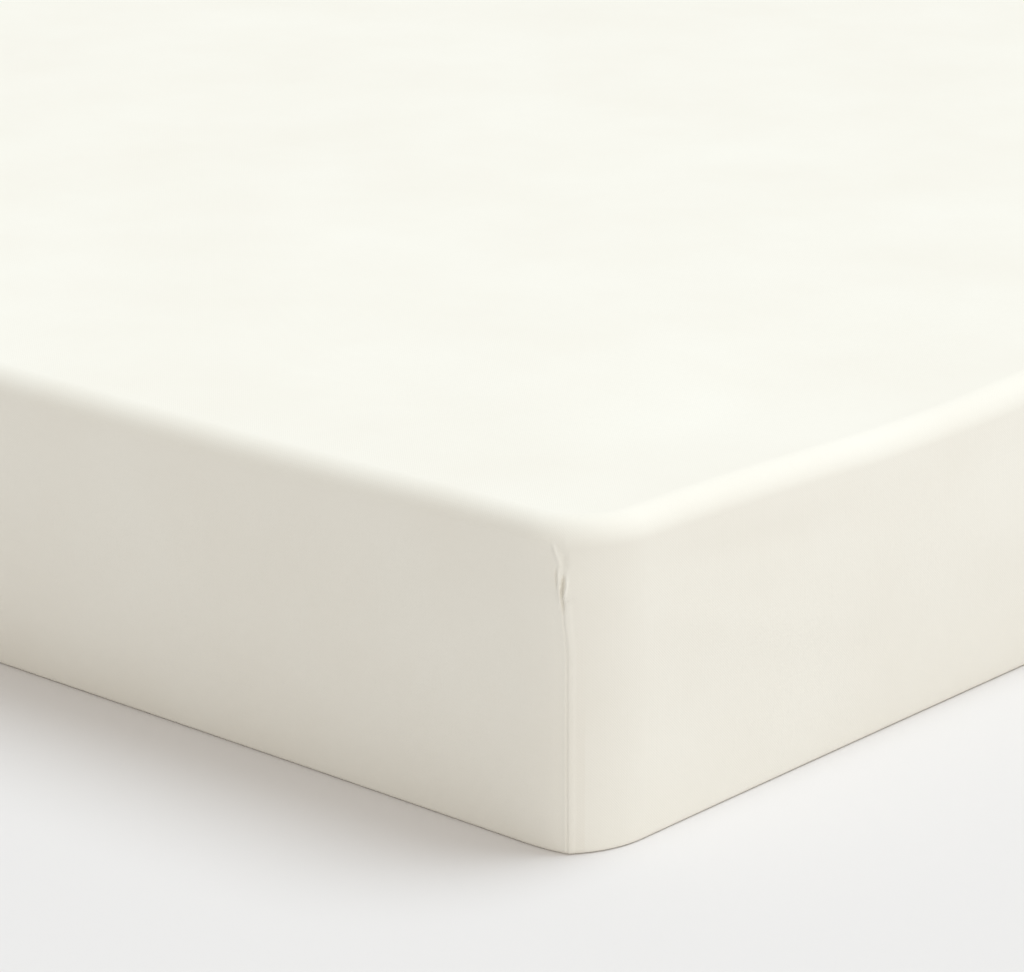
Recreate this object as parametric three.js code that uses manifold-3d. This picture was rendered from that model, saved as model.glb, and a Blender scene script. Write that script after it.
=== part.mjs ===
// A fitted sheet pulled tight over a plain super-king mattress.
// Millimetres, +Z up. The origin is at the middle of the footprint, on the surface it rests on.
// X runs across the bed, Y along it.
import * as THREE from 'three';
import { mergeVertices } from 'three/addons/utils/BufferGeometryUtils.js';
import Module from 'manifold-3d';

// The mattress, measured at the middle of its edges.
const MATTRESS_WIDTH = 1800;
const MATTRESS_LENGTH = 2000;
const MATTRESS_DEPTH = 250;

// The cloth and the room between it and the mattress.
const CLOTH = 1.5;
const CLEARANCE = 0.4;
const EDGE_EASE = 5; // the mattress's edges are this much rounder, so the cloth bridges them
const BULGE_EASE = 0.6; // its sides swell this much less than the cloth
const FLAP_CLEARANCE = 2.1; // room over the part turned under the mattress

// Radii of the sheet's outer face.
const CORNER_RADIUS = 65; // seen from above
const TOP_ROLL = 20;
const BOTTOM_ROLL = 6;

// What is turned under, and its elastic hem.
const TURN_UNDER = 115;
const HEM_WIDTH = 12;
const HEM_THICKNESS = 3;
const HEM_CORNER_RADIUS = 150;
const FOOT_INSET = 14; // from the hem to where the mattress starts down to the surface
const FOOT_SLOPE = 40;

// How the tight cloth is uneven.
const CROWN = 4; // the top's rise in the middle
const CORNER_RISE = 4; // how far the corners stand above the edges
const RISE_REACH = 400;
const EDGE_SAG = 7; // the dip in each long side's top edge, towards each end
const SAG_PLACE = 430; // its middle, from the end
const SAG_SPREAD = 190;
const SIDE_BULGE = 10;
const SEAM_RIDGE = 8; // how far the taut seam stands out from a round corner
const RIDGE_RISE = 60; // the ridge grows over this much below the top face
const SEAM_DEPTH = 1.2;
const SEAM_SPREAD = 3;
const PUCKER = 2.4; // the small fold where a corner seam ends at the top
const PUCKER_SPREAD = 9;
const PUCKER_DROP = 32; // its middle, below the top face

// Grid lines, alike on every skin: fractions of each flat face, of each rounded margin, and of
// the mattress's depth.
const FLAT_LINES = [0, 0.3, 0.6, 0.84];
const MARGIN_LINES = [0, 17, 34, 49, 55, 60, 65].map((line) => line / CORNER_RADIUS);
const SEAM_LINE = 49 / CORNER_RADIUS; // the seam's place across a rounded margin
const SIDE_LINES = [0.07, 0.24, 0.46, 0.68, 0.83];
const ROLL_STEPS = 2; // in the top roll
const ROUND_STEPS = 8; // on each quarter of the hem's opening

const wasm = await Module();
wasm.setup();

const cover = CLOTH + CLEARANCE;

// One skin of the form. grow is its distance outside the mattress's flat faces.
function skin(grow, ease, bulge, floor) {
  return {
    halfWidth: MATTRESS_WIDTH / 2 + grow,
    halfLength: MATTRESS_LENGTH / 2 + grow,
    bottom: floor,
    top: MATTRESS_DEPTH + grow,
    corner: CORNER_RADIUS - cover + grow + ease,
    topRoll: TOP_ROLL - cover + grow + ease,
    bottomRoll: BOTTOM_ROLL - cover + grow + ease,
    bulge,
  };
}

const sheetOutside = skin(cover, 0, SIDE_BULGE, 0);
const sheetInside = skin(CLEARANCE, 0, SIDE_BULGE, CLOTH);
const mattressSkin = skin(0, EDGE_EASE, SIDE_BULGE - BULGE_EASE, CLOTH + FLAP_CLEARANCE);

const clamp = (value) => Math.min(1, Math.max(0, value));

function smoothstep(low, high, value) {
  const t = clamp((value - low) / (high - low));
  return t * t * (3 - 2 * t);
}

// Turns a square corner of side max(a, b) into a quarter circle.
function roundCorner(a, b) {
  if (a <= 0 || b <= 0) return [a, b];
  const radius = Math.max(a, b);
  const turn = Math.PI / 4;
  const angle = a >= b ? (turn * b) / a : 2 * turn - (turn * a) / b;
  return [radius * Math.cos(angle), radius * Math.sin(angle)];
}

// Lines across one horizontal side, from one outer face to the other.
function acrossLines(half, margin) {
  const flat = half - margin;
  const inner = FLAT_LINES.map((line) => line * (half - CORNER_RADIUS));
  const outer = MARGIN_LINES.map((line) => flat + line * margin);
  const lines = [...inner, ...outer];
  return [...lines.slice(1).map((line) => -line).reverse(), ...lines];
}

// Lines up a side, closest in the top roll.
function upLines({ bottom, top, bottomRoll, topRoll }) {
  const high = top - topRoll;
  const lines = [bottom, bottom + bottomRoll];
  SIDE_LINES.forEach((line) => lines.push(line * MATTRESS_DEPTH));
  for (let i = 0; i <= ROLL_STEPS; i += 1) lines.push(high + (topRoll * i) / ROLL_STEPS);
  return lines;
}

// Rounds the box: first its rolls, top and bottom, then its corners seen from above.
function roundBox(point, form) {
  const flatX = form.halfWidth - form.corner;
  const flatY = form.halfLength - form.corner;
  let outX = Math.abs(point.x) - flatX;
  let outY = Math.abs(point.y) - flatY;
  const margin = Math.max(outX, outY);
  const middle = (form.bottom + form.top) / 2;
  const upper = point.z >= middle;
  const roll = upper ? form.topRoll : form.bottomRoll;
  const rollStart = upper ? form.top - roll : form.bottom + roll;
  const past = upper ? point.z - rollStart : rollStart - point.z;
  const rollInner = form.corner - roll;
  if (margin > rollInner && past > 0) {
    const [rolledOut, rolledUp] = roundCorner(margin - rollInner, past);
    const shrink = (rollInner + rolledOut) / margin;
    if (outX > 0) outX *= shrink;
    if (outY > 0) outY *= shrink;
    point.z = upper ? rollStart + rolledUp : rollStart - rolledUp;
  }
  [outX, outY] = roundCorner(outX, outY);
  point.x = Math.sign(point.x) * (flatX + outX);
  point.y = Math.sign(point.y) * (flatY + outY);
}

// The crown, sags and bulges that tight cloth and a soft mattress share.
function settle(point, bulge) {
  const acrossBed = clamp(Math.abs(point.x) / (MATTRESS_WIDTH / 2));
  const alongBed = clamp(Math.abs(point.y) / (MATTRESS_LENGTH / 2));
  const crown = CROWN * (1 - acrossBed ** 2) * (1 - alongBed ** 2);
  const fromSide = MATTRESS_WIDTH / 2 - Math.abs(point.x);
  const fromEnd = MATTRESS_LENGTH / 2 - Math.abs(point.y);
  const rise = CORNER_RISE * (1 - smoothstep(0, RISE_REACH, Math.hypot(fromSide, fromEnd)));
  const atSag = Math.exp(-(((fromEnd - SAG_PLACE) / SAG_SPREAD) ** 2));
  const sag = EDGE_SAG * atSag * smoothstep(0.6, 1, acrossBed);
  const lift = smoothstep(0.35 * MATTRESS_DEPTH, MATTRESS_DEPTH, point.z);
  const belly = bulge * Math.sin(Math.PI * clamp(point.z / MATTRESS_DEPTH));
  const outX = smoothstep(0.6, 1, acrossBed) * (1 - alongBed ** 4);
  const outY = smoothstep(0.6, 1, alongBed) * (1 - acrossBed ** 4);
  point.x += Math.sign(point.x) * belly * outX;
  point.y += Math.sign(point.y) * belly * outY;
  point.z += lift * (crown + rise - sag);
}

// The sewn seam just beside the middle of each corner: the ridge it makes, its groove, and the
// pucker where it ends.
function sewCorner(point, form) {
  const outX = Math.abs(point.x) - (form.halfWidth - form.corner);
  const outY = Math.abs(point.y) - (form.halfLength - form.corner);
  if (outX <= 0 || outY <= 0) return;
  const radius = Math.hypot(outX, outY);
  const angle = Math.atan2(outX, outY);
  const seamAngle = (SEAM_LINE * Math.PI) / 4;
  const along = form.corner * (angle - seamAngle);
  const below = form.top + CORNER_RISE - point.z;
  const onSide = smoothstep(form.corner - form.topRoll, form.corner, radius);
  const rightAngle = Math.PI / 2;
  const toSeam = Math.min(angle / seamAngle, (rightAngle - angle) / (rightAngle - seamAngle));
  const ridge = SEAM_RIDGE * toSeam ** 2 * smoothstep(0, RIDGE_RISE, below);
  const onSeam = smoothstep(0, PUCKER_DROP / 2, below) * smoothstep(0, BOTTOM_ROLL, point.z);
  const groove = SEAM_DEPTH * Math.exp(-((along / SEAM_SPREAD) ** 2)) * onSeam;
  const beside = (along + PUCKER_SPREAD) / PUCKER_SPREAD;
  const height = (below - PUCKER_DROP) / PUCKER_DROP;
  const pucker = PUCKER * Math.exp(-(beside ** 2) - (2 * height) ** 2);
  const move = onSide * (ridge + pucker - groove);
  point.x += (Math.sign(point.x) * move * outX) / radius;
  point.y += (Math.sign(point.y) * move * outY) / radius;
}

// A closed skin of the form, as a solid.
function roundedSolid(form, sewn) {
  const xLines = acrossLines(form.halfWidth, form.corner);
  const yLines = acrossLines(form.halfLength, form.corner);
  const zLines = upLines(form);
  const [nx, ny, nz] = [xLines.length - 1, yLines.length - 1, zLines.length - 1];
  const box = new THREE.BoxGeometry(nx, ny, nz, nx, ny, nz);
  const position = box.getAttribute('position');
  const point = new THREE.Vector3();
  for (let i = 0; i < position.count; i += 1) {
    point.fromBufferAttribute(position, i);
    point.set(
      xLines[Math.round(point.x + nx / 2)],
      yLines[Math.round(point.y + ny / 2)],
      zLines[Math.round(point.z + nz / 2)],
    );
    roundBox(point, form);
    settle(point, form.bulge);
    if (sewn) sewCorner(point, form);
    position.setXYZ(i, point.x, point.y, point.z);
  }
  return toSolid(box);
}

function toSolid(geometry) {
  const plain = geometry.index ? geometry.clone() : geometry;
  plain.deleteAttribute('normal');
  plain.deleteAttribute('uv');
  const merged = mergeVertices(plain, 1e-4);
  const mesh = new wasm.Mesh({
    numProp: 3,
    vertProperties: new Float32Array(merged.getAttribute('position').array),
    triVerts: new Uint32Array(merged.index.array),
  });
  return new wasm.Manifold(mesh);
}

function toGeometry(solid) {
  const mesh = solid.getMesh();
  const geometry = new THREE.BufferGeometry();
  geometry.setAttribute('position', new THREE.BufferAttribute(mesh.vertProperties, 3));
  geometry.setIndex(new THREE.BufferAttribute(mesh.triVerts, 1));
  geometry.computeVertexNormals();
  return geometry;
}

// A rectangle with round corners, the hem's outline moved inwards by inset.
function hemOutline(inset) {
  const halfX = MATTRESS_WIDTH / 2 - TURN_UNDER - inset;
  const halfY = MATTRESS_LENGTH / 2 - TURN_UNDER - inset;
  const r = HEM_CORNER_RADIUS - inset;
  const quarter = Math.PI / 2;
  const outline = new THREE.Shape();
  outline.absarc(halfX - r, halfY - r, r, 0, quarter);
  outline.absarc(r - halfX, halfY - r, r, quarter, 2 * quarter);
  outline.absarc(r - halfX, r - halfY, r, 2 * quarter, 3 * quarter);
  outline.absarc(halfX - r, r - halfY, r, 3 * quarter, 4 * quarter);
  return outline;
}

function prism(outline, low, high) {
  const options = { depth: high - low, bevelEnabled: false, curveSegments: ROUND_STEPS };
  const geometry = new THREE.ExtrudeGeometry(outline, options);
  geometry.translate(0, 0, low);
  return toSolid(geometry);
}

// The cloth: its outer skin less the room inside it, with a thicker hem round the opening.
function makeSheet() {
  const under = -5;
  const hem = prism(hemOutline(-HEM_WIDTH), under, HEM_THICKNESS);
  const opening = prism(hemOutline(0), under, 2 * HEM_THICKNESS);
  const room = roundedSolid(sheetInside, true).subtract(hem);
  return roundedSolid(sheetOutside, true).subtract(room).subtract(opening);
}

// The mattress: its soft body, and the foot that passes through the hem to the surface.
function makeMattress() {
  const rise = mattressSkin.bottom;
  const options = {
    depth: 2 * rise,
    bevelThickness: rise,
    bevelSize: FOOT_SLOPE,
    bevelSegments: 1,
    curveSegments: ROUND_STEPS,
  };
  const foot = new THREE.ExtrudeGeometry(hemOutline(FOOT_INSET + FOOT_SLOPE), options);
  foot.translate(0, 0, rise);
  return roundedSolid(mattressSkin, false).add(toSolid(foot));
}

const clothFinish = new THREE.MeshStandardMaterial({
  name: 'cotton',
  color: '#efece2',
  roughness: 0.85,
  metalness: 0,
});
const tickingFinish = new THREE.MeshStandardMaterial({
  name: 'ticking',
  color: '#e4e2dc',
  roughness: 0.9,
  metalness: 0,
});

const sheet = new THREE.Mesh(toGeometry(makeSheet()), clothFinish);
sheet.name = 'fitted_sheet';
const mattress = new THREE.Mesh(toGeometry(makeMattress()), tickingFinish);
mattress.name = 'mattress';

const bed = new THREE.Group();
bed.name = 'fitted_sheet_on_mattress';
bed.add(sheet, mattress);

export default bed;
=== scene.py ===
import math
from types import SimpleNamespace

import bmesh
import bpy
import numpy as np
from mathutils import Matrix, Vector


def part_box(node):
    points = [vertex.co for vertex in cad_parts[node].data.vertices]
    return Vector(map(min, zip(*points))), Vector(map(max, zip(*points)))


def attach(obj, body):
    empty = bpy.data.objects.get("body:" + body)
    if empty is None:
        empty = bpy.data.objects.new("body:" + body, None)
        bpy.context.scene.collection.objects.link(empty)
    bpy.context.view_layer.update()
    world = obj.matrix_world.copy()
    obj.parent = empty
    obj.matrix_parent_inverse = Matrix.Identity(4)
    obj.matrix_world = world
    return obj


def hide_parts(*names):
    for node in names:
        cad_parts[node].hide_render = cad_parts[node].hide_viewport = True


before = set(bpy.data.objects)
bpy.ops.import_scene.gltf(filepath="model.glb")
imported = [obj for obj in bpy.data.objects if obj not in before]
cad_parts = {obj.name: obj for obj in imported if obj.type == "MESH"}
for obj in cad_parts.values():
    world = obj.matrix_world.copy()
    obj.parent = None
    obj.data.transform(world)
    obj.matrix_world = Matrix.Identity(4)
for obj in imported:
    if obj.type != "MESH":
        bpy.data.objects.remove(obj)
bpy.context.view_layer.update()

# ---------------------------------------------------------------- sizes, in metres

MM = 0.001
sheet_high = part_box("fitted_sheet")[1]
mattress_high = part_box("mattress")[1]

# the form that the tight cloth and its mattress share
BULGE = 10 * MM  # how far the middle of each side swells
CROWN = 4 * MM  # how far the middle of the top rises
TUCK = 4 * MM  # how far the elastic draws the sides' lower edges in
TUCK_RISE = 75 * MM
CORNER_RISE = 4 * MM  # how far the corners stand above the edges
RISE_REACH = 400 * MM
EDGE_SAG = 7 * MM  # the dip in each long side's top edge, towards each end
SAG_PLACE = 430 * MM  # its middle, from the end
SAG_SPREAD = 190 * MM
RIM_SHARE = 0.6  # beyond this share of the way from the middle, the sides' shape is felt
LIFT_SHARE = 0.35  # above this share of the height, the top's shape is felt

# the sheet
HALF_X = sheet_high.x - BULGE
HALF_Y = sheet_high.y - BULGE
TOP = sheet_high.z - CROWN
CORNER = 65 * MM  # the corner's radius, seen from above
TOP_ROLL = 20 * MM
BOTTOM_ROLL = 3 * MM
TURN_UNDER = 115 * MM
HEM = TOP + TURN_UNDER  # the hem's edge, measured down the side and in from the top's edge
CLOTH = 1.5 * MM

# its hem, which elastic gathers
HEM_WIDTH = 12 * MM
HEM_CORNER = 150 * MM
HEM_THICKNESS = 3 * MM
GATHERED_LENGTH = 400 * MM  # how far from each corner the threads run askew to the hem
GATHER_HEIGHT = 3.2 * MM
GATHER_SPACING = 17 * MM
GATHER_DEPTH = 75 * MM  # how far from the hem the gathers reach
GATHER_ALONG_SIDES = 0.35  # their height along the sides, as a share of that at the corners

# the seam at each corner
SEAM_TURN = math.radians(34.6)  # its place round the corner, from the end face
SEAM_LEAN = 2.6 * MM  # how far the pucker pulls its upper end towards the end face
SEAM_RIDGE = 8 * MM  # how far the taut seam stands out from a round corner
RIDGE_RISE = 60 * MM  # the ridge grows over this much below the top face
RIDGE_UNDER = 70 * MM  # and dies out over this much under the mattress
GROOVE_DEPTH = 1.0 * MM
GROOVE_WIDTH = 0.75 * MM
TURNING_LIFT = 0.55 * MM  # the seam's turnings lie under the long side's cloth
TURNING_WIDTH = 5.4 * MM
HOLLOW_DEPTH = 0.5 * MM  # the other side of the seam lies this much lower
HOLLOW_PLACE = 4 * MM
HOLLOW_WIDTH = 5 * MM
DRAWN_DEPTH = 0.16 * MM  # every few stitches the thread draws the cloth in a touch
DRAWN_SPACING = 9.5 * MM
DRAWN_REACH = 7 * MM

# the cloth's slow unevenness
PULL_TAPER = 0.35
TOP_SEED, SIDE_SEED = 3, 8
TOP_WAVES = 0.7 * MM
TOP_WAVE_LENGTH = 340 * MM
SIDE_WAVES = 0.8 * MM
SIDE_WAVE_LENGTH = 300 * MM

# an eighth of a turn, and an arc's length as a share of the two straight lines round it
EIGHTH = math.pi / 4


# ---------------------------------------------------------------- small helpers

def smoothstep(low, high, value):
    t = np.clip((value - low) / (high - low), 0, 1)
    return t * t * (3 - 2 * t)


def stretches(start, *parts):
    """Line positions from start, each part an (end, spacing) pair."""
    lines = [start]
    for end, spacing in parts:
        count = max(1, round((end - lines[-1]) / spacing))
        lines.extend(np.linspace(lines[-1], end, count + 1)[1:])
    return lines


def in_mm(points):
    return [(x * MM, y * MM) for x, y in points]


# ---------------------------------------------------------------- the form

def settle(x, y, z, bulge):
    """The crown, sags and bulges that the tight cloth and the mattress share."""
    across = np.clip(np.abs(x) / HALF_X, 0, 1)
    along = np.clip(np.abs(y) / HALF_Y, 0, 1)
    crown = CROWN * (1 - across**2) * (1 - along**2)
    from_side, from_end = HALF_X - np.abs(x), HALF_Y - np.abs(y)
    rise = CORNER_RISE * (1 - smoothstep(0, RISE_REACH, np.hypot(from_side, from_end)))
    sag = EDGE_SAG * np.exp(-(((from_end - SAG_PLACE) / SAG_SPREAD) ** 2))
    sag = sag * smoothstep(RIM_SHARE, 1, across)
    lift = smoothstep(LIFT_SHARE * TOP, TOP, z)
    belly = bulge * np.sin(np.pi * np.clip(z / TOP, 0, 1))
    belly = belly - TUCK * np.clip(1 - z / TUCK_RISE, 0, 1) ** 2
    out_x = smoothstep(RIM_SHARE, 1, across) * (1 - along**4)
    out_y = smoothstep(RIM_SHARE, 1, along) * (1 - across**4)
    return (
        x + np.sign(x) * belly * out_x,
        y + np.sign(y) * belly * out_y,
        z + lift * (crown + rise - sag),
    )


SHEET_FORM = SimpleNamespace(
    half_x=HALF_X, half_y=HALF_Y, top=TOP, low=0.0,
    corner=CORNER, top_roll=TOP_ROLL, bottom_roll=BOTTOM_ROLL,
)


def profile(s, form):
    """Section of a form: s runs out over the top, down the side and in under it."""
    over_start = form.corner - form.top_roll
    over = np.clip((s - over_start) / (2 * form.top_roll), 0, 1) * math.pi / 2
    under_start = form.corner + form.top - form.low - form.bottom_roll
    under = np.clip((s - under_start) / (2 * form.bottom_roll), 0, 1) * math.pi / 2
    out = np.minimum(s, over_start) + form.top_roll * np.sin(over)
    out = out - form.bottom_roll * (1 - np.cos(under))
    out = out - np.clip(s - under_start - 2 * form.bottom_roll, 0, None)
    straight = form.top - form.low - form.top_roll - form.bottom_roll
    drop = np.clip(s - (form.corner + form.top_roll), 0, straight)
    z = form.top - form.top_roll * (1 - np.cos(over)) - drop - form.bottom_roll * np.sin(under)
    return out, z, over + under


def wrap(x, y, s, ring, form):
    """Bends box lines round a form. x and y are line distances from the middle, s the distance
    along the section, and ring the corner's own radius there before it is rounded."""
    au, av = x - form.half_x + form.corner, y - form.half_y + form.corner
    first = au >= av  # on a long side's panel, or on its half of the top
    k = np.minimum(au, av)
    turn = EIGHTH * np.clip(k, 0, None) / np.clip(ring, 1e-9, None)
    out, z, tilt = profile(s, form)
    half_here = np.where(first, form.half_x, form.half_y) - form.corner
    half_there = np.where(first, form.half_y, form.half_x) - form.corner
    here = half_here + out * np.cos(turn)
    there = half_there + np.where(k > 0, out * np.sin(turn), k)
    inside = np.maximum(au, av) <= 0
    place_x = np.where(inside, x, np.where(first, here, there))
    place_y = np.where(inside, y, np.where(first, there, here))
    return place_x, place_y, z, tilt, turn, k, first


def hem_point(k, half_here, half_there):
    """Where a thread that comes down at k round the side meets the hem's outline."""
    straight_end = CORNER - TURN_UNDER - HEM_CORNER
    straight = straight_end + GATHERED_LENGTH
    share = np.clip((k + GATHERED_LENGTH) / (CORNER + GATHERED_LENGTH), 0, 1)
    run = share * (straight + HEM_CORNER * EIGHTH)
    bend = np.clip((run - straight) / HEM_CORNER, 0, None)
    along = np.where(k < -GATHERED_LENGTH, k, np.minimum(run - GATHERED_LENGTH, straight_end))
    along = along + HEM_CORNER * np.sin(bend) + half_there - CORNER
    out = half_here - TURN_UNDER - HEM_CORNER * (1 - np.cos(bend))
    return out, along


def fold(u, v):
    """Takes the cut cloth's lines, u across and v along, to their place on the form."""
    form = SHEET_FORM
    s = np.maximum(np.abs(u) - form.half_x, np.abs(v) - form.half_y) + form.corner
    ring = np.minimum(s, form.corner)
    x, y, z, tilt, turn, k, first = wrap(np.abs(u), np.abs(v), s, ring, form)
    # under the mattress the cloth runs straight from the lower edge to the hem
    edge = form.corner + form.top + form.bottom_roll
    rim = form.corner - form.bottom_roll
    half_here = np.where(first, form.half_x, form.half_y)
    half_there = np.where(first, form.half_y, form.half_x)
    rim_here = half_here - form.corner + rim * np.cos(turn)
    rim_there = half_there - form.corner + np.where(k > 0, rim * np.sin(turn), k)
    hem_here, hem_there = hem_point(k, half_here, half_there)
    share = (s - edge) / (TURN_UNDER - form.bottom_roll)
    here = rim_here + share * (hem_here - rim_here)
    there = rim_there + share * (hem_there - rim_there)
    x = np.where(s > edge, np.where(first, here, there), x)
    y = np.where(s > edge, np.where(first, there, here), y)
    turn_x = np.where(first, np.cos(turn), np.sin(turn))
    turn_y = np.where(first, np.sin(turn), np.cos(turn))
    normal = np.stack([
        np.sin(tilt) * turn_x * np.sign(u),
        np.sin(tilt) * turn_y * np.sign(v),
        np.cos(tilt),
    ])
    # how far round the corner from its seam, towards the long side, and how far below the edge
    round_x = np.where(k > 0, CORNER * (2 * EIGHTH - turn - SEAM_TURN),
                       CORNER * (2 * EIGHTH - SEAM_TURN) - k)
    round_y = np.where(k > 0, CORNER * (turn - SEAM_TURN), k - CORNER * SEAM_TURN)
    beside = np.where(first, round_x, round_y)
    outward = np.stack([turn_x * np.sign(u), turn_y * np.sign(v)])
    return np.sign(u) * x, np.sign(v) * y, z, normal, outward, beside, s - CORNER


# ---------------------------------------------------------------- creases

def crease(beside, below, route, height, width, taper=0.25):
    """A soft ridge, or a trough if height is negative, along a given route. It tapers over
    a share of its length at each end."""
    route = np.array(route)
    lengths = np.hypot(*np.diff(route, axis=0).T)
    total = lengths.sum()
    nearest = np.full(beside.shape, 1e9)
    place = np.zeros(beside.shape)
    done = 0.0
    for (x0, y0), (x1, y1), length in zip(route[:-1], route[1:], lengths):
        dx, dy = (x1 - x0) / length, (y1 - y0) / length
        t = np.clip((beside - x0) * dx + (below - y0) * dy, 0, length)
        gap = np.hypot(beside - x0 - t * dx, below - y0 - t * dy)
        closer = gap < nearest
        nearest = np.where(closer, gap, nearest)
        place = np.where(closer, done + t, place)
        done += length
    share = place / total
    ends = smoothstep(0, taper, share) * smoothstep(0, taper, 1 - share)
    left_at_tip = 0.15
    return height * np.exp(-((nearest / width) ** 2)) * (left_at_tip + (1 - left_at_tip) * ends)


# Each corner's pucker, where the seam ends just under the top edge: a route of points, each
# (round the corner from the seam, below the top's edge), then height and width, in millimetres.
PUCKERS = {
    (1, -1): [
        ([(-19, 13), (-17, 16)], 0.5, 1.3),
        ([(-12.4, 17), (-9.5, 24), (-7, 29), (-5, 34)], 1.5, 1.3),
        ([(-7.6, 32), (-6.6, 37), (-6.4, 45), (-6, 53), (-4.6, 60)], 1.6, 0.9),
        ([(-8.4, 34), (-8, 42), (-7.4, 50)], -1.3, 0.7),
        ([(-3.4, 22), (-3, 30), (-3.2, 38)], -1.4, 2.4),
        ([(-3, 37), (-3.3, 45), (-3.6, 52), (-3.2, 60), (-2.2, 67)], -3.8, 1.0),
        ([(-0.6, 40), (-0.9, 47), (-2, 53), (-4, 59)], 1.6, 0.8),
        ([(-2.2, 60), (0.6, 57), (4.8, 56)], -0.9, 0.9),
        ([(-22, 52), (-16, 52.5), (-10, 51)], -0.4, 1.1),
    ],
    (1, 1): [
        ([(7, 10), (4, 18), (2, 27), (1, 40)], 1.6, 2.2),
        ([(-1, 15), (-1.5, 26), (-0.5, 38), (0, 52)], -2.0, 1.7),
        ([(-6, 12), (-4.6, 24), (-3, 36), (-1.6, 48)], 1.4, 2.0),
    ],
    (-1, 1): [
        ([(-9, 12), (-5, 20), (-3, 32), (-2, 46)], 1.5, 2.2),
        ([(-1, 16), (0, 28), (0, 42), (0, 54)], -2.0, 1.8),
        ([(4, 20), (3, 30), (1.6, 42)], 1.2, 1.9),
    ],
    (-1, -1): [
        ([(8, 9), (4.4, 17), (2.4, 28), (1.4, 38)], 1.4, 2.2),
        ([(0.5, 18), (-0.6, 30), (0, 46)], -2.1, 1.7),
        ([(-7, 20), (-4.4, 28), (-2.4, 40)], 1.3, 2.0),
    ],
}


def seam_line(below):
    """The seam leans towards the end face where the pucker pulls it."""
    return -SEAM_LEAN * (1 - smoothstep(64 * MM, 100 * MM, below))


def ridge(beside, below):
    """Outward move where the taut seam stands out from the round corner."""
    off = beside - seam_line(below)
    to_end = CORNER * SEAM_TURN + seam_line(below)
    to_side = CORNER * (2 * EIGHTH - SEAM_TURN) - seam_line(below)
    to_seam = np.clip(np.minimum(1 + off / to_end, 1 - off / to_side), 0, 1)
    fades = smoothstep(0, RIDGE_RISE, below) * (1 - smoothstep(TOP, TOP + RIDGE_UNDER, below))
    return SEAM_RIDGE * to_seam**2 * fades


def sewn(beside, below, corner):
    """Outward move of the cloth round one corner's seam."""
    off = beside - seam_line(below)
    on = smoothstep(54 * MM, 68 * MM, below) * (1 - smoothstep(270 * MM, 300 * MM, below))
    groove = -GROOVE_DEPTH * np.exp(-((off / GROOVE_WIDTH) ** 2))
    turning = smoothstep(0, 1.2 * MM, off) * (1 - smoothstep(4 * MM, TURNING_WIDTH, off))
    hollow = -HOLLOW_DEPTH * np.exp(-(((off + HOLLOW_PLACE) / HOLLOW_WIDTH) ** 2))
    uneven = 0.8 * MM * np.sin(below / (13 * MM))
    phase = 2 * math.pi * (below + uneven) / DRAWN_SPACING + 0.7 * corner[0]
    drawn = DRAWN_DEPTH * np.sin(phase) * np.exp(-np.abs(off) / DRAWN_REACH)
    move = on * (groove + TURNING_LIFT * turning + hollow + drawn)
    for route, height, width in PUCKERS[corner]:
        move = move + crease(beside, below, in_mm(route), height * MM, width * MM)
    return move


# Long, soft pulls in the tight cloth: a route, then height and width, in millimetres. On the top
# a route is (in from the long side, in from the end), and on the sides it is as for a pucker.
TOP_PULLS = [
    ([(60, 60), (210, 190), (420, 330)], 0.9, 26),
    ([(120, 50), (330, 120), (620, 190)], 0.7, 30),
    ([(50, 130), (130, 340), (210, 600)], -0.7, 32),
]
SIDE_PULLS = [
    ([(-16, 52), (-70, 84), (-190, 128), (-340, 150)], 0.7, 15),
    ([(-14, 40), (-80, 48), (-210, 62), (-400, 66)], -0.6, 14),
    ([(14, 50), (90, 88), (230, 130), (380, 150)], 0.6, 16),
    ([(18, 36), (120, 46), (300, 60)], -0.5, 15),
]


def waves(x, y, seed, size):
    """Slow unevenness: a few crossing waves of about the given length, from -1 to 1."""
    draw = np.random.default_rng(seed)
    total = np.zeros(x.shape)
    count = 5
    for _ in range(count):
        turn, phase = draw.uniform(0, math.pi), draw.uniform(0, 2 * math.pi)
        length = size * draw.uniform(0.7, 1.5)
        total += np.sin(2 * math.pi * (x * math.cos(turn) + y * math.sin(turn)) / length + phase)
    return total / count


# ---------------------------------------------------------------- the sheet

def across_lines():
    """Lines over the top from the middle to the long side's edge, closest at the seam: those for
    the side with the deepest pucker, and plainer ones for the other side."""
    margin = HALF_X - CORNER
    seam = margin + CORNER * SEAM_TURN / EIGHTH
    stretch = MM / EIGHTH  # a line's distance for each millimetre round the corner
    fine = stretches(
        0, (600 * MM, 44 * MM), (760 * MM, 30 * MM), (margin, 13 * MM),
        (seam - 17 * stretch, 6 * MM), (seam - 9.5 * stretch, 1.3 * MM),
        (seam + 2 * stretch, 0.72 * MM), (seam + 7 * stretch, 1.3 * MM), (HALF_X, 2.6 * MM),
    )
    plain = stretches(
        0, (600 * MM, 50 * MM), (760 * MM, 35 * MM), (margin, 15 * MM),
        (seam - 12 * stretch, 7 * MM), (seam - 4 * stretch, 2 * MM),
        (seam + 4 * stretch, 0.95 * MM), (HALF_X, 3 * MM),
    )
    return fine, plain


def along_lines():
    """Lines over the top from the middle to the end face's edge."""
    margin = HALF_Y - CORNER
    return stretches(
        0, (660 * MM, 46 * MM), (840 * MM, 32 * MM), (margin, 14 * MM),
        (HALF_Y - TOP_ROLL, 6 * MM), (HALF_Y, 2.5 * MM),
    )


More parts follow.
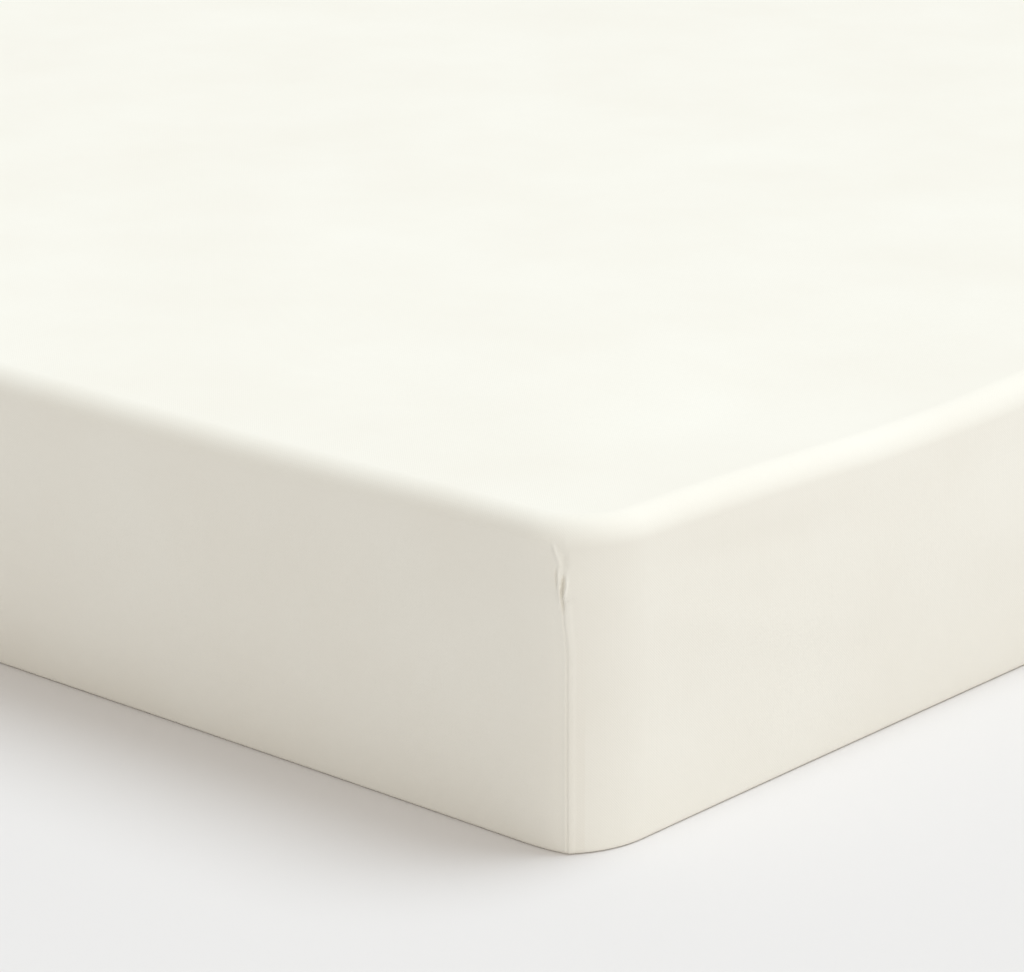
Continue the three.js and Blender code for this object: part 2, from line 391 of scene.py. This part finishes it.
def down_lines():
    """Lines down the side and in under the mattress to the hem, as distances from the edge."""
    return stretches(
        0, (12 * MM, 2.4 * MM), (68 * MM, 1.75 * MM), (100 * MM, 3.6 * MM),
        (TOP - 3 * BOTTOM_ROLL, 8 * MM),
        (TOP - BOTTOM_ROLL, 4 * MM), (TOP + BOTTOM_ROLL, 1.2 * MM),
        (HEM - HEM_WIDTH, 9 * MM), (HEM, 2.4 * MM),
    )[1:]


def both_ways(left, right):
    return np.array([-line for line in reversed(left[1:])] + list(right))


def cut_length(path, edge):
    """Length of cloth from the middle to a line, with the rolls' arcs taken true."""
    spare = 1 - EIGHTH
    rolls = ((edge - TOP_ROLL, 2 * TOP_ROLL), (edge + TOP - BOTTOM_ROLL, 2 * BOTTOM_ROLL))
    short = sum(spare * np.clip(np.abs(path) - at, 0, width) for at, width in rolls)
    return np.sign(path) * (np.abs(path) - short)


def cut_cloth(u_lines, v_lines):
    """The flat panel as a grid of lines, with its own measure as UV for the weave. Also gives
    each vertex its pair of line distances from the middle."""
    cloth = bmesh.new()
    uv = cloth.loops.layers.uv.new("cut")
    cloth.verts.layers.deform.verify()
    bmesh.ops.create_grid(
        cloth, x_segments=len(u_lines) - 1, y_segments=len(v_lines) - 1, size=1
    )
    places = np.array([v.co[:] for v in cloth.verts])
    u = u_lines[np.rint((places[:, 0] + 1) / 2 * (len(u_lines) - 1)).astype(int)]
    v = v_lines[np.rint((places[:, 1] + 1) / 2 * (len(v_lines) - 1)).astype(int)]
    cut = np.stack([cut_length(u, HALF_X), cut_length(v, HALF_Y)], axis=1)
    cloth.verts.index_update()
    for face in cloth.faces:
        for loop in face.loops:
            loop[uv].uv = cut[loop.vert.index]
    return cloth, u, v


def unevenness(u, v, x, y, z, beside, below):
    """How far the cloth stands off its plain form: seams, puckers, long pulls and slow waves."""
    move = np.zeros(u.shape)
    for corner in PUCKERS:
        here = (np.sign(u) == corner[0]) & (np.sign(v) == corner[1])
        by, down = beside[here], below[here]
        move[here] = sewn(by, down, corner)
        to_x, to_y = HALF_X - np.abs(x[here]), HALF_Y - np.abs(y[here])
        top = 1 - smoothstep(-25 * MM, -5 * MM, down)
        side = smoothstep(0, 20 * MM, down) * (1 - smoothstep(160 * MM, 220 * MM, down))
        for route, height, width in TOP_PULLS:
            pull = crease(to_x, to_y, in_mm(route), height * MM, width * MM, PULL_TAPER)
            move[here] += pull * top
        for route, height, width in SIDE_PULLS:
            pull = crease(by, down, in_mm(route), height * MM, width * MM, PULL_TAPER)
            move[here] += pull * side
    on_top = 1 - smoothstep(-30 * MM, 0, below)
    on_side = smoothstep(15 * MM, 50 * MM, below) * (1 - smoothstep(170 * MM, 240 * MM, below))
    move += TOP_WAVES * waves(x, y, TOP_SEED, TOP_WAVE_LENGTH) * on_top
    move += SIDE_WAVES * waves(x + 0.3 * y, 2.2 * z, SIDE_SEED, SIDE_WAVE_LENGTH) * on_side
    return move


def gathers(beside, below):
    """How high the elastic gathers the hem, most of all round the corners."""
    near_hem = smoothstep(HEM - GATHER_DEPTH, HEM - 8 * MM, below)
    at_corner = 1 - smoothstep(50 * MM, 450 * MM, np.abs(beside))
    height = GATHER_ALONG_SIDES + (1 - GATHER_ALONG_SIDES) * at_corner
    phase = 2 * math.pi * beside / GATHER_SPACING + 2 * np.sin(beside / (50 * MM))
    ripple = GATHER_HEIGHT * (0.5 + 0.5 * np.sin(phase)) * near_hem * height
    return np.where(below > TOP, ripple, 0)


def make_sheet():
    """The sheet as a thin skin. Also gives its flat size and its cut-out squares' side."""
    down = down_lines()
    fine, plain = across_lines()
    along = along_lines() + [HALF_Y + d for d in down]
    cloth, u, v = cut_cloth(
        both_ways(plain + [HALF_X + d for d in down], fine + [HALF_X + d for d in down]),
        both_ways(along, along),
    )
    x, y, z, normal, outward, beside, below = fold(u, v)
    x, y, z = settle(x, y, z, BULGE)
    move = unevenness(u, v, x, y, z, beside, below)
    # the lower edge stays flat on the floor
    up = np.where(below > TOP - 2 * BOTTOM_ROLL, 0, move * normal[2])
    x, y, z = x + move * normal[0], y + move * normal[1], z + up
    stand_out = ridge(beside, below)
    x, y = x + stand_out * outward[0], y + stand_out * outward[1]
    z = z + gathers(beside, below)
    # the thickness, as a share of the hem's
    thick = np.where(below > HEM - HEM_WIDTH * 1.05, 1.0, CLOTH / HEM_THICKNESS)
    share = cloth.verts.layers.deform.active
    for vert, place, amount in zip(cloth.verts, np.stack([x, y, z], axis=1), thick):
        vert.co = place
        vert[share][0] = float(amount)
    corners = [
        vert for vert in cloth.verts
        if abs(u[vert.index]) > HALF_X + 1e-6 and abs(v[vert.index]) > HALF_Y + 1e-6
    ]
    bmesh.ops.delete(cloth, geom=corners, context="VERTS")
    bmesh.ops.remove_doubles(cloth, verts=cloth.verts, dist=0.02 * MM)
    bmesh.ops.recalc_face_normals(cloth, faces=cloth.faces)
    piece = as_object("sheet_cloth", cloth, smooth=True)
    piece.vertex_groups.new(name="thickness")
    solid = piece.modifiers.new("cloth thickness", "SOLIDIFY")
    solid.thickness = HEM_THICKNESS
    solid.offset = -1
    solid.vertex_group = "thickness"
    flat = [float(2 * cut_length(np.array(half + HEM), half)) for half in (HALF_X, HALF_Y)]
    square = flat[0] / 2 - float(cut_length(np.array(HALF_X), HALF_X))
    return piece, flat, square


def as_object(name, mesh_in_work, smooth):
    mesh = bpy.data.meshes.new(name)
    mesh_in_work.to_mesh(mesh)
    mesh_in_work.free()
    if smooth:
        mesh.shade_smooth()
    piece = bpy.data.objects.new(name, mesh)
    bpy.context.scene.collection.objects.link(piece)
    return piece


# ---------------------------------------------------------------- the mattress

EASE = 5 * MM  # its edges are this much rounder than the sheet's
MATTRESS_BULGE = BULGE - 0.6 * MM
FOOT_ROLL = 11 * MM  # its lower edge
YIELD = 1.6 * MM  # how far it gives under the cloth's folds
FOOT_RISE = 7 * MM  # its base clears the cloth gathered under it, and comes down inside the hem
FOOT_START = TURN_UNDER + 14 * MM
FOOT_SLOPE = 40 * MM
FOOT_CORNER = TURN_UNDER + HEM_CORNER

MATTRESS_FORM = SimpleNamespace(
    half_x=mattress_high.x - MATTRESS_BULGE - YIELD,
    half_y=mattress_high.y - MATTRESS_BULGE - YIELD,
    top=mattress_high.z - CROWN - YIELD, low=FOOT_RISE,
    corner=CORNER + EASE, top_roll=TOP_ROLL + EASE, bottom_roll=FOOT_ROLL,
)


def make_mattress():
    form = MATTRESS_FORM
    height = form.top - form.low
    body = bmesh.new()
    bmesh.ops.create_cube(body, size=1)
    bmesh.ops.scale(body, vec=(2 * form.half_x, 2 * form.half_y, height), verts=body.verts)
    bmesh.ops.translate(body, vec=(0, 0, form.low + height / 2), verts=body.verts)
    for axis, half in ((0, form.half_x), (1, form.half_y)):
        lines = stretches(
            0, (half - FOOT_CORNER, 100 * MM), (half - FOOT_START, 10 * MM),
            (half - form.corner, 30 * MM), (half, 7 * MM),
        )[:-1]
        for line in lines + [-line for line in lines[1:]]:
            slice_across(body, axis, line)
    lines = stretches(
        form.low, (form.low + form.bottom_roll, 4 * MM), (form.top - form.top_roll, 30 * MM),
        (form.top, 6 * MM),
    )[1:-1]
    for line in lines:
        slice_across(body, 2, line)
    x, y, z = np.array([v.co[:] for v in body.verts]).T
    ring = np.maximum(np.abs(x) - form.half_x, np.abs(y) - form.half_y) + form.corner
    upper, lower = z > form.top - 1e-6, z < form.low + 1e-6
    s = np.where(upper, ring, form.corner + form.top - z)
    s = np.where(lower, form.corner + height + form.corner - ring, s)
    place_x, place_y, place_z, *_ = wrap(np.abs(x), np.abs(y), s, ring, form)
    x, y, z = settle(np.sign(x) * place_x, np.sign(y) * place_y, place_z, MATTRESS_BULGE)
    # the foot's corners are round, as the hem's opening is
    past_x = np.abs(x) - form.half_x + FOOT_CORNER
    past_y = np.abs(y) - form.half_y + FOOT_CORNER
    rounded = np.hypot(np.clip(past_x, 0, None), np.clip(past_y, 0, None))
    straight = np.maximum(past_x, past_y)
    inwards = FOOT_CORNER - np.where((past_x > 0) & (past_y > 0), rounded, straight)
    foot = smoothstep(FOOT_START, FOOT_START + FOOT_SLOPE, inwards)
    z = np.where(lower, z - FOOT_RISE * foot, z)
    for vert, place in zip(body.verts, np.stack([x, y, z], axis=1)):
        vert.co = place
    bmesh.ops.recalc_face_normals(body, faces=body.faces)
    return as_object("mattress_body", body, smooth=True)


def slice_across(body, axis, at):
    """A line of edges right round a solid, at one place along an axis."""
    place, direction = [0, 0, 0], [0, 0, 0]
    place[axis], direction[axis] = at, 1
    parts = body.verts[:] + body.edges[:] + body.faces[:]
    bmesh.ops.bisect_plane(body, geom=parts, plane_co=place, plane_no=direction)


# ---------------------------------------------------------------- materials

def linear(hex_colour):
    """An sRGB hex colour as a linear RGBA."""
    channels = [int(hex_colour[i:i + 2], 16) / 255 for i in (1, 3, 5)]
    return tuple(
        c / 12.92 if c <= 0.04045 else ((c + 0.055) / 1.055) ** 2.4 for c in channels
    ) + (1.0,)


def node(tree, kind, settings=None, values=None, links=None):
    """Adds one node: its settings, its sockets' values, and links into its sockets."""
    made = tree.nodes.new(kind)
    for name, value in (settings or {}).items():
        setattr(made, name, value)
    for name, value in (values or {}).items():
        made.inputs[name].default_value = value
    for name, source in (links or {}).items():
        tree.links.new(source, made.inputs[name])
    return made


def new_material(name):
    material = bpy.data.materials.new(name)
    material.use_nodes = True
    material.node_tree.nodes.clear()
    return material, material.node_tree


def percale():
    """Cotton percale: a close plain weave, matt, with a faint dry sheen and slightly uneven
    threads, so the eye sees fine crossing lines rather than a flat colour."""
    material, tree = new_material("ivory_percale")
    cut = node(tree, "ShaderNodeUVMap", {"uv_map": "cut"}).outputs["UV"]
    # threads lie 0.25 mm apart; they are drawn wider apart, so that they show at all
    drawn_apart = 1.1 * MM
    bands_at_scale_1 = 20 / (2 * math.pi)  # in a metre
    threads = []
    for direction in ("X", "Y"):
        wave = node(
            tree, "ShaderNodeTexWave",
            {"wave_type": "BANDS", "bands_direction": direction, "wave_profile": "SIN"},
            {"Scale": 1 / (2 * drawn_apart * bands_at_scale_1), "Distortion": 0.8, "Detail": 2.0,
             "Detail Scale": 1.6},
            {"Vector": cut},
        )
        swing = node(
            tree, "ShaderNodeMapRange", {}, {"To Min": -1.0, "To Max": 1.0},
            {"Value": wave.outputs["Fac"]},
        )
        threads.append(swing.outputs["Result"])
    # over one thread and under the next, both ways
    weave = node(tree, "ShaderNodeMath", {"operation": "MULTIPLY"})
    tree.links.new(threads[0], weave.inputs[0])
    tree.links.new(threads[1], weave.inputs[1])
    # slubs: threads a little thicker for a few centimetres
    slubs = []
    for stretch in ((9, 520, 1), (520, 9, 1)):
        mapped = node(tree, "ShaderNodeMapping", {}, {"Scale": stretch}, {"Vector": cut})
        noise = node(
            tree, "ShaderNodeTexNoise", {}, {"Scale": 1.0, "Detail": 3.0, "Roughness": 0.6},
            {"Vector": mapped.outputs["Vector"]},
        )
        slubs.append(noise.outputs["Fac"])
    slub = node(tree, "ShaderNodeMath", {"operation": "ADD"})
    tree.links.new(slubs[0], slub.inputs[0])
    tree.links.new(slubs[1], slub.inputs[1])
    cloudy = node(
        tree, "ShaderNodeTexNoise", {}, {"Scale": 5.0, "Detail": 4.0, "Roughness": 0.55},
        {"Vector": cut},
    )
    tone = node(
        tree, "ShaderNodeMapRange", {},
        {"From Min": 0.3, "From Max": 0.7, "To Min": 0.0, "To Max": 1.0},
        {"Value": cloudy.outputs["Fac"]},
    )
    colour = node(
        tree, "ShaderNodeMix", {"data_type": "RGBA"},
        {6: linear("#f1ede3"), 7: linear("#f4f1e8")}, {0: tone.outputs["Result"]},
    )
    coarse = node(
        tree, "ShaderNodeBump", {}, {"Strength": 0.12, "Distance": 0.4 * MM},
        {"Height": slub.outputs["Value"]},
    )
    fine = node(
        tree, "ShaderNodeBump", {}, {"Strength": 0.10, "Distance": 0.2 * MM},
        {"Height": weave.outputs["Value"], "Normal": coarse.outputs["Normal"]},
    )
    shader = node(
        tree, "ShaderNodeBsdfPrincipled", {},
        {"Roughness": 0.82, "Sheen Weight": 0.12, "Sheen Roughness": 0.5,
         "Specular IOR Level": 0.3},
        {"Base Color": colour.outputs[2], "Normal": fine.outputs["Normal"]},
    )
    node(tree, "ShaderNodeOutputMaterial", links={"Surface": shader.outputs["BSDF"]})
    return material


def ticking():
    """Cotton ticking: a dense twill, matt and a shade greyer than the sheet."""
    material, tree = new_material("plain_ticking")
    place = node(tree, "ShaderNodeTexCoord").outputs["Object"]
    twill = node(
        tree, "ShaderNodeTexWave",
        {"wave_type": "BANDS", "bands_direction": "DIAGONAL", "wave_profile": "SIN"},
        {"Scale": 90.0, "Distortion": 0.6, "Detail": 2.0}, {"Vector": place},
    )
    bump = node(
        tree, "ShaderNodeBump", {}, {"Strength": 0.25, "Distance": 0.4 * MM},
        {"Height": twill.outputs["Fac"]},
    )
    colour = node(
        tree, "ShaderNodeMix", {"data_type": "RGBA"},
        {6: linear("#dcd9d1"), 7: linear("#e6e3dc")}, {0: twill.outputs["Fac"]},
    )
    shader = node(
        tree, "ShaderNodeBsdfPrincipled", {}, {"Roughness": 0.88, "Specular IOR Level": 0.25},
        {"Base Color": colour.outputs[2], "Normal": bump.outputs["Normal"]},
    )
    node(tree, "ShaderNodeOutputMaterial", links={"Surface": shader.outputs["BSDF"]})
    return material


def matt_floor():
    material, tree = new_material("matt_studio_floor")
    shader = node(
        tree, "ShaderNodeBsdfPrincipled", {},
        {"Base Color": linear("#e5e2e1"), "Roughness": 0.95, "Specular IOR Level": 0.1},
    )
    node(tree, "ShaderNodeOutputMaterial", links={"Surface": shader.outputs["BSDF"]})
    return material


# ---------------------------------------------------------------- studio

def make_floor():
    floor = bmesh.new()
    half_width = 30.0
    bmesh.ops.create_grid(floor, x_segments=2, y_segments=2, size=half_width)
    piece = as_object("floor", floor, smooth=False)
    piece.data.materials.append(matt_floor())


def make_camera():
    """The camera looks down past the near corner, at its foot."""
    azimuth, pitch, roll = (math.radians(a) for a in (41.42, 18.19, 0.0))
    back = Vector((
        math.sin(azimuth) * math.cos(pitch), -math.cos(azimuth) * math.cos(pitch),
        math.sin(pitch),
    ))
    level = Vector((math.cos(azimuth), math.sin(azimuth), 0))
    right = level * math.cos(roll) + back.cross(level) * math.sin(roll)
    up = back.cross(right)
    corner = Vector((HALF_X, -HALF_Y, 0))
    camera = bpy.data.objects.new("camera", bpy.data.cameras.new("camera"))
    camera.data.lens = 161.3
    camera.data.sensor_width = 36
    camera.matrix_world = Matrix.Translation(
        corner + Vector((2.0006, -2.3501, 1.3050))
    ) @ Matrix((right, up, back)).transposed().to_4x4()
    bpy.context.scene.collection.objects.link(camera)
    bpy.context.scene.camera = camera


def make_lights():
    """A bright room all round, one soft light high up behind, and a little more from the right."""
    world = bpy.data.worlds.new("soft_room")
    bpy.context.scene.world = world
    world.use_nodes = True
    room = world.node_tree.nodes["Background"]
    room.inputs["Color"].default_value = linear("#fffdf8")
    room.inputs["Strength"].default_value = 0.62
    for name, towards, energy, angle, colour in (
        ("soft_key", (0.24, 0.46, 1.0), 1.74, 37, "#ecf7ff"),
        ("soft_side", (0.90, -0.30, 0.30), 0.45, 60, "#fff8ee"),
    ):
        sun = bpy.data.lights.new(name, "SUN")
        sun.energy = energy
        sun.angle = math.radians(angle)
        sun.color = linear(colour)[:3]
        light = bpy.data.objects.new(name, sun)
        light.rotation_mode = "QUATERNION"
        light.rotation_quaternion = Vector(towards).to_track_quat("Z", "Y")
        bpy.context.scene.collection.objects.link(light)
    bpy.context.scene.view_settings.view_transform = "Standard"


# ---------------------------------------------------------------- putting it together

make_camera()
make_lights()
make_floor()

mattress = make_mattress()
mattress.data.materials.append(ticking())
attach(mattress, "root")
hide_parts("mattress")

sheet, flat_cut, corner_square = make_sheet()
sheet.data.materials.append(percale())
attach(sheet, "root")
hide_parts("fitted_sheet")
